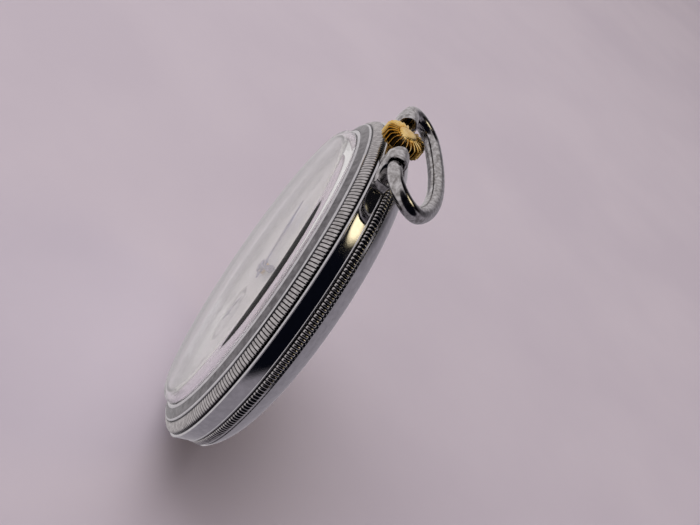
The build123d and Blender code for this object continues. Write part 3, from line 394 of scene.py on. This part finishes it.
place_piece("bezel_slope", [surface("slope", around(slope, 640))], satin_nickel, "bezel", "case_metal",
            "bezel")

# The edge that holds the crystal is turned bright, and so is a bead between the slope and the ribs.
edge = rounded([
    (22.24, 8.3), (22.24, 8.5), (22.02, BEZEL_TOP), (CRYSTAL_RADIUS + 0.02, BEZEL_TOP),
    (CRYSTAL_RADIUS + 0.02, CRYSTAL_SEAT), (CRYSTAL_RADIUS - 0.6, CRYSTAL_SEAT),
    (CRYSTAL_RADIUS - 0.6, BEZEL_LEDGE), (HOLDER_RADIUS, BEZEL_LEDGE), (HOLDER_RADIUS, 8.3)], 0.04)
bead = rounded([(23.68, 7.7), (23.68, 7.84), (23.52, 8.0), (23.42, 7.94), (23.42, 7.7)], 0.05)
place_piece("bezel_edge", [surface("edge", around(edge, 640)), surface("bead", around(bead, 640))],
            mirror_nickel, "bezel", "case_metal", "bezel")


# ---- crystal -----------------------------------------------------------------------------------
# The crystal is a dome of clear glass with a short upright wall, pressed into the bezel's seat.
CRYSTAL_TOP, CRYSTAL_THICKNESS, CRYSTAL_SHOULDER = 11.2, 0.9, 1.1


def glass_dome(edge_radius, edge_height, top, steps=40):
    """The upper part of a sphere centred on the axis, from its edge to its top: its radius is
    (e^2 + rise^2) / (2 rise) for an edge at e."""
    rise = top - edge_height
    ball = (edge_radius ** 2 + rise ** 2) / (2 * rise)
    turn = np.linspace(math.asin(edge_radius / ball), 0, steps)[:, None]
    return np.hstack([ball * np.sin(turn), top - ball + ball * np.cos(turn)])


wall_top = CRYSTAL_SEAT + 0.9
turn = np.linspace(0, np.pi / 2, 12)[:, None]
outer_edge = (CRYSTAL_RADIUS - CRYSTAL_SHOULDER, CRYSTAL_TOP - 1.3)
shoulder = np.hstack([outer_edge[0] + CRYSTAL_SHOULDER * np.cos(turn),
                      wall_top + (outer_edge[1] - wall_top) * np.sin(turn)])
inner_edge = (CRYSTAL_RADIUS - CRYSTAL_THICKNESS - 0.4, outer_edge[1] - CRYSTAL_THICKNESS)
inside_wall = CRYSTAL_RADIUS - CRYSTAL_THICKNESS
glass_outline = np.vstack([
    [(inside_wall, CRYSTAL_SEAT), (CRYSTAL_RADIUS, CRYSTAL_SEAT)], shoulder,
    glass_dome(*outer_edge, CRYSTAL_TOP)[1:],
    glass_dome(*inner_edge, CRYSTAL_TOP - CRYSTAL_THICKNESS)[::-1],
    [(inside_wall - 0.12, wall_top - 0.12), (inside_wall, wall_top - 0.3), (inside_wall, CRYSTAL_SEAT)]])

# Polished mineral glass: almost colourless, faintly hazed by wear.
mineral_glass, tree, shader, place = new_material("mineral_glass", IOR=1.52, Transmission_Weight=1.0)
shader.inputs["Base Color"].default_value = to_linear("#FBFCFB")
tree.links.new(noise(tree, place, 6.0, 0.0, 0.03, detail=3.0), shader.inputs["Roughness"])
crystal = place_piece("crystal_glass", [surface("glass", around(glass_outline, 384))], mineral_glass,
                      "bezel", "crystal_clear", "crystal")
crystal.visible_shadow = False


# ---- bow ---------------------------------------------------------------------------------------
# The bow is a bent wire ring, thicker towards its outer arc; each end has a turned neck that sits in a
# lug's socket, and it has swung to the back.
BOW_HALF_WIDTH, BOW_DEPTH, BOW_SIDE_RADIUS, BOW_REST = 10.6, 8.4, 3.2, 114.0
BOW_END_RADIUS, BOW_ARC_RADIUS = 0.88, 1.1

side_x = BOW_HALF_WIDTH - BOW_SIDE_RADIUS
rise = BOW_DEPTH - BOW_SIDE_RADIUS
top_radius = (side_x ** 2 + rise ** 2 - BOW_SIDE_RADIUS ** 2) / (2 * (rise - BOW_SIDE_RADIUS))
touch = math.atan2(BOW_SIDE_RADIUS - (BOW_DEPTH - top_radius), side_x)


def bow_wire():
    """The wire's middle line is a straight end, a round side and half of the flat outer arc, then the
    same mirrored; a circle is carried along it, turned by the line's heading.  Its radius grows from the
    ends to the outer arc, less 0.14 exp(-((d - 0.95) / 0.22)^2) at d from an end, which is the neck."""
    straight = np.stack([np.linspace(LUG_OUTER - 1.25, side_x, 14), np.zeros(14)], -1)
    turn = np.linspace(-np.pi / 2, touch, 60)[1:]
    side = np.stack([side_x + BOW_SIDE_RADIUS * np.cos(turn), BOW_SIDE_RADIUS * (1 + np.sin(turn))], -1)
    top_turn = np.linspace(touch, np.pi / 2, 30)[1:]
    top = np.stack([top_radius * np.cos(top_turn),
                    BOW_DEPTH - top_radius + top_radius * np.sin(top_turn)], -1)
    line = np.vstack([straight, side, top])
    heading = np.concatenate([np.zeros(14), turn + np.pi / 2, top_turn + np.pi / 2])
    line = np.vstack([line, line[-2::-1] * (-1, 1)])
    heading = np.concatenate([heading, np.pi * 2 - heading[-2::-1]])
    travel = np.concatenate([[0], np.cumsum(np.linalg.norm(np.diff(line, axis=0), axis=1))])
    share = 1 - np.abs(2 * travel / travel[-1] - 1)
    from_end = np.minimum(travel, travel[-1] - travel)
    radius = BOW_END_RADIUS + (BOW_ARC_RADIUS - BOW_END_RADIUS) * np.clip(share * 1.8, 0, 1)
    radius = radius - 0.14 * np.exp(-((from_end - 0.95) / 0.22) ** 2)
    ends = np.concatenate([[0, 0.8], np.ones(len(line) - 4), [0.8, 0]])
    angle = np.linspace(0, 2 * np.pi, 49)[None, :]
    reach = (radius * ends)[:, None]
    x = line[:, :1] - np.sin(heading)[:, None] * reach * np.cos(angle)
    out = line[:, 1:] + np.cos(heading)[:, None] * reach * np.cos(angle)
    up = reach * np.sin(angle)
    swing = -math.radians(BOW_REST)
    level = BOW_PIVOT + out * math.cos(swing) - up * math.sin(swing)
    height = STEM_HEIGHT + out * math.sin(swing) + up * math.cos(swing)
    return surface("wire", np.stack([x, -height, level], -1))


place_piece("bow_wire", [bow_wire()], handled_nickel, "bow", "case_metal", "bow")


# ---- crown -------------------------------------------------------------------------------------
# The crown is brass, gilt, with deep flutes for the fingers and a raised smooth boss on its low dome.
# It is screwed on the winding stem.
CROWN_START, CROWN_RADIUS, CROWN_RIM, CROWN_FLUTES = 26.3, 2.85, 27.6, 26
CROWN_FLUTE_DEPTH, CROWN_BOSS, CROWN_RISE = 0.42, 1.2, 0.66


def crown_body():
    """The outline, from the stem side over the rim and the dome to the boss, carried round the stem.
    Between two ribs it sinks by depth * fade * 1.25 (1 - |cos(flutes * a / 2)|^p), at most depth * fade;
    p is 12 on the wall, where the ribs are narrow, and falls to 4 on the dome."""
    dome_turn = np.linspace(0, 1, 18)
    bulge = np.pi / 2 * dome_turn
    dome = np.stack([CROWN_BOSS + 0.1 + (CROWN_RADIUS - CROWN_BOSS - 0.1) * np.cos(bulge),
                     CROWN_RIM + CROWN_RISE * np.sin(bulge) ** 0.85], -1)
    boss_turn = np.linspace(0, np.pi / 2, 10)
    boss = np.stack([CROWN_BOSS * np.cos(boss_turn) ** 0.6,
                     CROWN_RIM + CROWN_RISE - 0.05 + 0.2 * np.sin(boss_turn)], -1)
    wall = np.stack([np.full(12, CROWN_RADIUS), np.linspace(CROWN_START + 0.2, CROWN_RIM, 12)], -1)
    outline = np.vstack([[(0, CROWN_START), (2.3, CROWN_START), (CROWN_RADIUS - 0.22, CROWN_START + 0.02)],
                         wall, dome[1:], [(CROWN_BOSS + 0.04, CROWN_RIM + CROWN_RISE - 0.08)], boss])
    fade = np.concatenate([[0, 0, 0.6], np.ones(12), 1 - 0.4 * dome_turn[1:] ** 2, [0], np.zeros(len(boss))])
    along = np.gradient(outline, axis=0)
    along /= np.linalg.norm(along, axis=1)[:, None]
    angle = np.linspace(0, 2 * np.pi, CROWN_FLUTES * 26 + 1)[None, :]
    power = np.concatenate([np.full(15, 12.0), 4 + 6 * (1 - dome_turn[1:]) ** 2,
                            np.full(len(boss) + 1, 4.0)])
    flute = np.clip(1.25 * (1 - np.abs(np.cos(CROWN_FLUTES * angle / 2)) ** power[:, None]), 0, 1)
    sunk = CROWN_FLUTE_DEPTH * fade[:, None] * flute
    radius = outline[:, :1] - along[:, 1:] * sunk
    level = outline[:, 1:] + along[:, :1] * sunk
    grid = np.stack([radius * np.sin(angle), -STEM_HEIGHT + radius * np.cos(angle), level + 0 * angle], -1)
    return surface("crown_body", grid, groove=fade[:, None] * flute)


# Gilt brass: a warm yellow metal of uneven tone, with painted shade darkening the flutes so the ribs stand
# bright.
gilt_brass, tree, shader, place = new_material("gilt_brass", Metallic=1.0)
groove = add_node(tree, "Attribute", output="Fac", attribute_name="groove")
# Painted shade: the deeper a flute sinks, the nearer black its colour goes.
painted_flute_shade = add_node(tree, "MapRange", {"Value": groove, "From Min": 0.25, "From Max": 0.8})
gold = blend_colours(tree, noise(tree, place, 0.7, 0.0, 1.0), "#EBC26E", "#FADD9C")
tree.links.new(add_node(tree, "Mix", {"Factor": painted_flute_shade, "A": gold, "B": to_linear("#1E150B")},
                        data_type="RGBA"), shader.inputs["Base Color"])
tree.links.new(noise(tree, place, 0.5, 0.16, 0.28), shader.inputs["Roughness"])
tree.links.new(add_node(tree, "Bump", {"Height": noise(tree, place, 0.2, 0.0, 1.0), "Strength": 0.05,
                                       "Distance": 0.02 * MM}), shader.inputs["Normal"])
place_piece("crown_knob", [crown_body()], gilt_brass, "stem", "crown_gilt", "crown")


# ---- dial --------------------------------------------------------------------------------------
# The dial is a copper disc with fired white enamel, and a sunk ring for the seconds.  Its minute track
# and numbers are printed in black enamel and fired again.
painted = set()


def paint(material, *nodes):
    """Gives the nodes' own meshes a material, and remembers which nodes have one."""
    painted.update(nodes)
    for node in nodes:
        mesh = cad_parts[node].data
        mesh.materials.clear()
        mesh.materials.append(material)


# Fired enamel: a hard, glossy, slightly wavy white with a faint warm cast.
white_enamel, tree, shader, place = new_material("fired_white_enamel", IOR=1.5, Coat_Weight=0.6,
                                                 Coat_Roughness=0.04)
tree.links.new(blend_colours(tree, noise(tree, place, 7.0, 0.0, 1.0), "#E6E4DC", "#EFEEE8"),
               shader.inputs["Base Color"])
tree.links.new(noise(tree, place, 1.5, 0.16, 0.26), shader.inputs["Roughness"])
tree.links.new(add_node(tree, "Bump", {"Height": noise(tree, place, 2.5, 0.0, 1.0), "Strength": 0.08,
                                       "Distance": 0.02 * MM}), shader.inputs["Normal"])
paint(white_enamel, "dial")

DIAL_FRONT, PRINT_THICKNESS, PRINT_SINK, SECONDS_SINK = 7.4, 0.015, 0.01, 0.08
SECONDS_AT, SECONDS_FRONT = (0.0, -9.6), DIAL_FRONT - SECONDS_SINK
HOURS_RADIUS, COUNT_RADIUS = 16.0, 2.8


def printed_ring(radius, width, height, at=(0.0, 0.0)):
    """A thin ring of print on the dial, about a point of it."""
    inner, outer = radius - width / 2, radius + width / 2
    under, over = height - PRINT_SINK, height + PRINT_THICKNESS
    outline = np.array([(inner, under), (outer, under), (outer, over), (inner, over), (inner, under)])
    return surface("ring", around(outline, 240) + np.array([at[0], 0, at[1]]))


def printed_strokes(count, inner, outer, width, height, at=(0.0, 0.0)):
    """Short strokes that point to a middle: each is a box from the inner to the outer radius, turned to
    its clock angle.  All of the boxes are one mesh."""
    half = width / 2
    box = np.array([(x, r, h) for h in (height - PRINT_SINK, height + PRINT_THICKNESS)
                    for x, r in ((-half, inner), (half, inner), (half, outer), (-half, outer))])
    sides = np.array([(0, 1, 2, 3), (7, 6, 5, 4), (0, 4, 5, 1), (1, 5, 6, 2), (2, 6, 7, 3), (3, 7, 4, 0)])
    angle = np.arange(count)[:, None] * 2 * np.pi / count
    x = box[None, :, 0] * np.cos(angle) + box[None, :, 1] * np.sin(angle) + at[0]
    z = -box[None, :, 0] * np.sin(angle) + box[None, :, 1] * np.cos(angle) + at[1]
    points = np.stack([x, np.broadcast_to(-box[None, :, 2], x.shape), z], -1).reshape(-1, 3) * MM
    faces = (sides[None] + 8 * np.arange(count)[:, None, None]).reshape(-1, 4)
    mesh = bpy.data.meshes.new("strokes")
    mesh.from_pydata(points.tolist(), [], faces.tolist())
    return mesh


def printed_number(text, size, x, z, height):
    """A number in the plain built-in face, slightly tall, standing on the dial with its middle at x, z."""
    curve = bpy.data.curves.new("number", "FONT")
    curve.body, curve.size, curve.extrude, curve.resolution_u = text, size, PRINT_THICKNESS, 6
    curve.align_x, curve.align_y = "CENTER", "CENTER"
    holder = bpy.data.objects.new("number", curve)
    bpy.context.scene.collection.objects.link(holder)
    mesh = bpy.data.meshes.new_from_object(holder.evaluated_get(bpy.context.evaluated_depsgraph_get()))
    bpy.data.objects.remove(holder)
    points = np.zeros(len(mesh.vertices) * 3)
    mesh.vertices.foreach_get("co", points)
    points = points.reshape(-1, 3) * (0.92, 1.2, 1)
    placed = np.stack([points[:, 0] + x, -points[:, 2] - height, points[:, 1] + z], -1) * MM
    mesh.vertices.foreach_set("co", placed.astype(np.float32).ravel())
    mesh.update()
    return mesh


print_meshes = [printed_ring(19.0, 0.09, DIAL_FRONT), printed_ring(20.0, 0.09, DIAL_FRONT),
                printed_strokes(60, 19.0, 20.0, 0.11, DIAL_FRONT),
                printed_strokes(12, 18.95, 20.05, 0.42, DIAL_FRONT),
                printed_ring(4.25, 0.07, SECONDS_FRONT, SECONDS_AT),
                printed_ring(3.65, 0.05, SECONDS_FRONT, SECONDS_AT),
                printed_strokes(60, 3.65, 4.25, 0.05, SECONDS_FRONT, SECONDS_AT),
                printed_strokes(12, 3.5, 4.25, 0.12, SECONDS_FRONT, SECONDS_AT)]
for hour in (1, 2, 3, 4, 5, 7, 8, 9, 10, 11, 12):
    turn = hour * math.pi / 6
    print_meshes.append(printed_number(str(hour), 3.7, HOURS_RADIUS * math.sin(turn),
                                       HOURS_RADIUS * math.cos(turn), DIAL_FRONT))
for mark in (15, 30, 45, 60):
    turn = mark * math.pi / 30
    print_meshes.append(printed_number(str(mark), 0.95, SECONDS_AT[0] + COUNT_RADIUS * math.sin(turn),
                                       SECONDS_AT[1] + COUNT_RADIUS * math.cos(turn), SECONDS_FRONT))

# Black enamel printed on and fired: a little uneven and softly glossy.
black_enamel, tree, shader, place = new_material("fired_black_enamel", IOR=1.5)
tree.links.new(blend_colours(tree, noise(tree, place, 0.5, 0.0, 1.0), "#131318", "#24242B"),
               shader.inputs["Base Color"])
tree.links.new(noise(tree, place, 0.4, 0.25, 0.4), shader.inputs["Roughness"])
place_piece("dial_print", print_meshes, black_enamel, "case", "dial_white")


# ---- hands -------------------------------------------------------------------------------------
# The hands are spring steel, polished and heated until they turn blue.
blued_steel, tree, shader, place = new_material("heat_blued_steel", Metallic=1.0)
tree.links.new(blend_colours(tree, noise(tree, place, 2.0, 0.0, 1.0), "#101B4C", "#27408C"),
               shader.inputs["Base Color"])
tree.links.new(noise(tree, place, 0.6, 0.14, 0.26), shader.inputs["Roughness"])
paint(blued_steel, "hour_hand", "minute_hand", "second_hand")


# ---- movement ----------------------------------------------------------------------------------
# The plate, bridges and cock are brass, nickel plated; their outer faces carry broad polished stripes.
# A wave at scale 1 repeats every 2 pi / 10 of x + y + z, so across the plate every 2 pi / (10 sqrt 2).
STRIPE_SPACING = 8.437
striped_nickel, tree, shader, place = new_material("striped_nickel_plate", Metallic=1.0)
stripes = add_node(tree, "TexWave", {
    "Vector": place, "Scale": 2 * math.pi / (10 * math.sqrt(2) * STRIPE_SPACING * MM), "Distortion": 0.4,
    "Detail": 1.0}, "Fac", bands_direction="DIAGONAL")
tree.links.new(blend_colours(tree, stripes, "#A9A596", "#D6D2C4"), shader.inputs["Base Color"])
tree.links.new(add_node(tree, "MapRange", {"Value": stripes, "To Min": 0.2, "To Max": 0.38}),
               shader.inputs["Roughness"])
tree.links.new(add_node(tree, "Bump", {"Height": stripes, "Strength": 0.3, "Distance": 0.02 * MM}),
               shader.inputs["Normal"])
paint(striped_nickel, "mainplate", "barrel_bridge", "train_bridge", "pallet_bridge", "balance_cock")

# The wheels, the barrel and the balance are stamped brass, grained by a fine abrasive and gilt.
grained_brass, tree, shader, place = new_material("grained_gilt_brass", Metallic=1.0)
tree.links.new(blend_colours(tree, noise(tree, place, 0.8, 0.0, 1.0), "#B08A3E", "#D3AE62"),
               shader.inputs["Base Color"])
tree.links.new(noise(tree, place, 0.3, 0.22, 0.4), shader.inputs["Roughness"])
tree.links.new(add_node(tree, "Bump", {"Height": noise(tree, place, 0.08, 0.0, 1.0), "Strength": 0.2,
                                       "Distance": 0.01 * MM}), shader.inputs["Normal"])
paint(grained_brass, "barrel_drum", "barrel_cover", "centre_wheel", "third_wheel", "fourth_wheel",
      "minute_wheel", "hour_wheel", "balance_wheel", "dial_spacer", "hairspring_stud")

# The screws and the two springs are blued as the hands are.
paint(blued_steel, "bridge_screws", "pallet_screws", "case_screws", "ratchet_screw", "crown_wheel_screw",
      "mainspring", "hairspring")

# The jewels and pallet stones are synthetic ruby, polished.
ruby, tree, shader, place = new_material("synthetic_ruby", IOR=1.77, Transmission_Weight=0.5, Roughness=0.05)
tree.links.new(blend_colours(tree, noise(tree, place, 0.5, 0.0, 1.0), "#A3123A", "#D42A55"),
               shader.inputs["Base Color"])
paint(ruby, "jewels", "pallet_stones")

# All else that shows, which is the keyless works, arbors, pinions and levers, is hardened steel, polished.
polished_steel, tree, shader, place = new_material("polished_hardened_steel", Metallic=1.0)
tree.links.new(blend_colours(tree, noise(tree, place, 0.7, 0.0, 1.0), "#9A9CA1", "#BFC1C5"),
               shader.inputs["Base Color"])
tree.links.new(noise(tree, place, 0.4, 0.1, 0.24), shader.inputs["Roughness"])
paint(polished_steel, *[node for node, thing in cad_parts.items()
                        if node not in painted and not thing.hide_render])


# ---- studio ------------------------------------------------------------------------------------
# A plain pale sheet lies under the watch.  A soft box hangs above it, and the side of the room that
# the polished band mirrors is dark.
FLOOR_LEVEL, FLOOR_REACH = cad_box[0][2], 6.0
floor_mesh = bpy.data.meshes.new("floor")
floor_mesh.from_pydata([(x * FLOOR_REACH, y * FLOOR_REACH, FLOOR_LEVEL)
                        for x, y in ((-1, -1), (1, -1), (1, 1), (-1, 1))], [], [(0, 1, 2, 3)])
floor = bpy.data.objects.new("floor", floor_mesh)
bpy.context.scene.collection.objects.link(floor)
floor.visible_glossy = False
paper, tree, shader, place = new_material("pale_paper", Roughness=0.85)
tree.links.new(blend_colours(tree, noise(tree, place, 40.0, 0.0, 1.0), "#D8CCD8", "#DED2DD"),
               shader.inputs["Base Color"])
floor_mesh.materials.append(paper)

world = bpy.data.worlds.new("studio")
bpy.context.scene.world = world
world.use_nodes = True
tree = world.node_tree
tree.nodes.clear()
direction = add_node(tree, "TexCoord", output="Generated")


def lobe(towards, edge, core):
    """How far a direction points at a part of the room, from 0 beyond the edge to 1 inside the core:
    both are cosines of the angle between them."""
    middle = tuple(np.array(towards) / np.linalg.norm(towards))
    facing = add_node(tree, "VectorMath", {0: direction, 1: middle}, "Value", operation="DOT_PRODUCT")
    return add_node(tree, "MapRange", {"Value": facing, "From Min": edge, "From Max": core},
                    interpolation_type="SMOOTHSTEP")


def scaled(code, strength):
    """A hex colour as linear light of a given strength."""
    return tuple(channel * strength for channel in to_linear(code)[:3]) + (1.0,)


# Which way each part of the room lies, the cosines at its edge and its core, its colour and its strength.
ROOM_PARTS = (
    ((-0.15, -1.0, 0.25), -0.55, 0.35, "#F2EDEE", 0.82),    # the bright side, in front of the dial
    ((-0.6, 0.68, 0.42), 0.86, 0.96, "#6A676C", 0.8),       # grey, behind the watch towards 9 o'clock
    ((0.75, 0.5, 0.35), 0.58, 0.74, "#10121C", 0.6),        # the dark side, behind it towards 3 o'clock
    ((-0.3, 0.6, 0.74), 0.85, 0.92, "#1A1A1E", 0.6),        # dark, high up behind it
    ((-0.1, 0.66, 0.745), 0.975, 0.997, "#FFEFC4", 2.0))    # a small warm lamp in the last
room = scaled("#A8A2AA", 0.78)
for towards, edge_cosine, core_cosine, code, strength in ROOM_PARTS:
    room = add_node(tree, "Mix", {"Factor": lobe(towards, edge_cosine, core_cosine), "A": room,
                                  "B": scaled(code, strength)}, data_type="RGBA")
seen = add_node(tree, "LightPath", output="Is Camera Ray")
room = add_node(tree, "Mix", {"Factor": seen, "A": room, "B": to_linear("#BEB4BE")}, data_type="RGBA")
world_output = tree.nodes.new("ShaderNodeOutputWorld")
tree.links.new(add_node(tree, "Background", {"Color": room}), world_output.inputs["Surface"])


# One soft box of half a metre, 0.9 W, faces a point beside the watch, which doesn't mirror it.
LAMP_PLACE, LAMP_TARGET = (-150.0, -180.0, 420.0), (-60.0, 0.0, -20.0)
light = bpy.data.lights.new("overhead", "AREA")
light.energy, light.size = 0.9, 0.5
lamp = bpy.data.objects.new("overhead", light)
bpy.context.scene.collection.objects.link(lamp)
lamp.location = np.array(LAMP_PLACE) * MM
lamp.rotation_mode = "QUATERNION"
away = mathutils.Vector(LAMP_PLACE) - mathutils.Vector(LAMP_TARGET)
lamp.rotation_quaternion = away.to_track_quat("Z", "Y")
lamp.visible_glossy = False

# The camera looks across the watch's 3 o'clock side from a little in front of and above the dial.
CAMERA_PLACE = (121.41, -28.97, 82.46)
CAMERA_RIGHT, CAMERA_DOWN = (-0.1553, 0.8053, 0.5721), (0.5259, 0.5576, -0.6422)
CAMERA_FORWARD = (-0.8362, 0.2012, -0.5101)
camera_data = bpy.data.cameras.new("camera")
camera_data.sensor_width, camera_data.lens = 36.0, 56.57
camera_data.clip_start, camera_data.clip_end = 0.005, 10.0
camera = bpy.data.objects.new("camera", camera_data)
bpy.context.scene.collection.objects.link(camera)
camera.matrix_world = mathutils.Matrix([
    (CAMERA_RIGHT[i], -CAMERA_DOWN[i], -CAMERA_FORWARD[i], CAMERA_PLACE[i] * MM) for i in range(3)]
    + [(0, 0, 0, 1)])
bpy.context.scene.camera = camera
bpy.context.scene.view_settings.view_transform = "Standard"
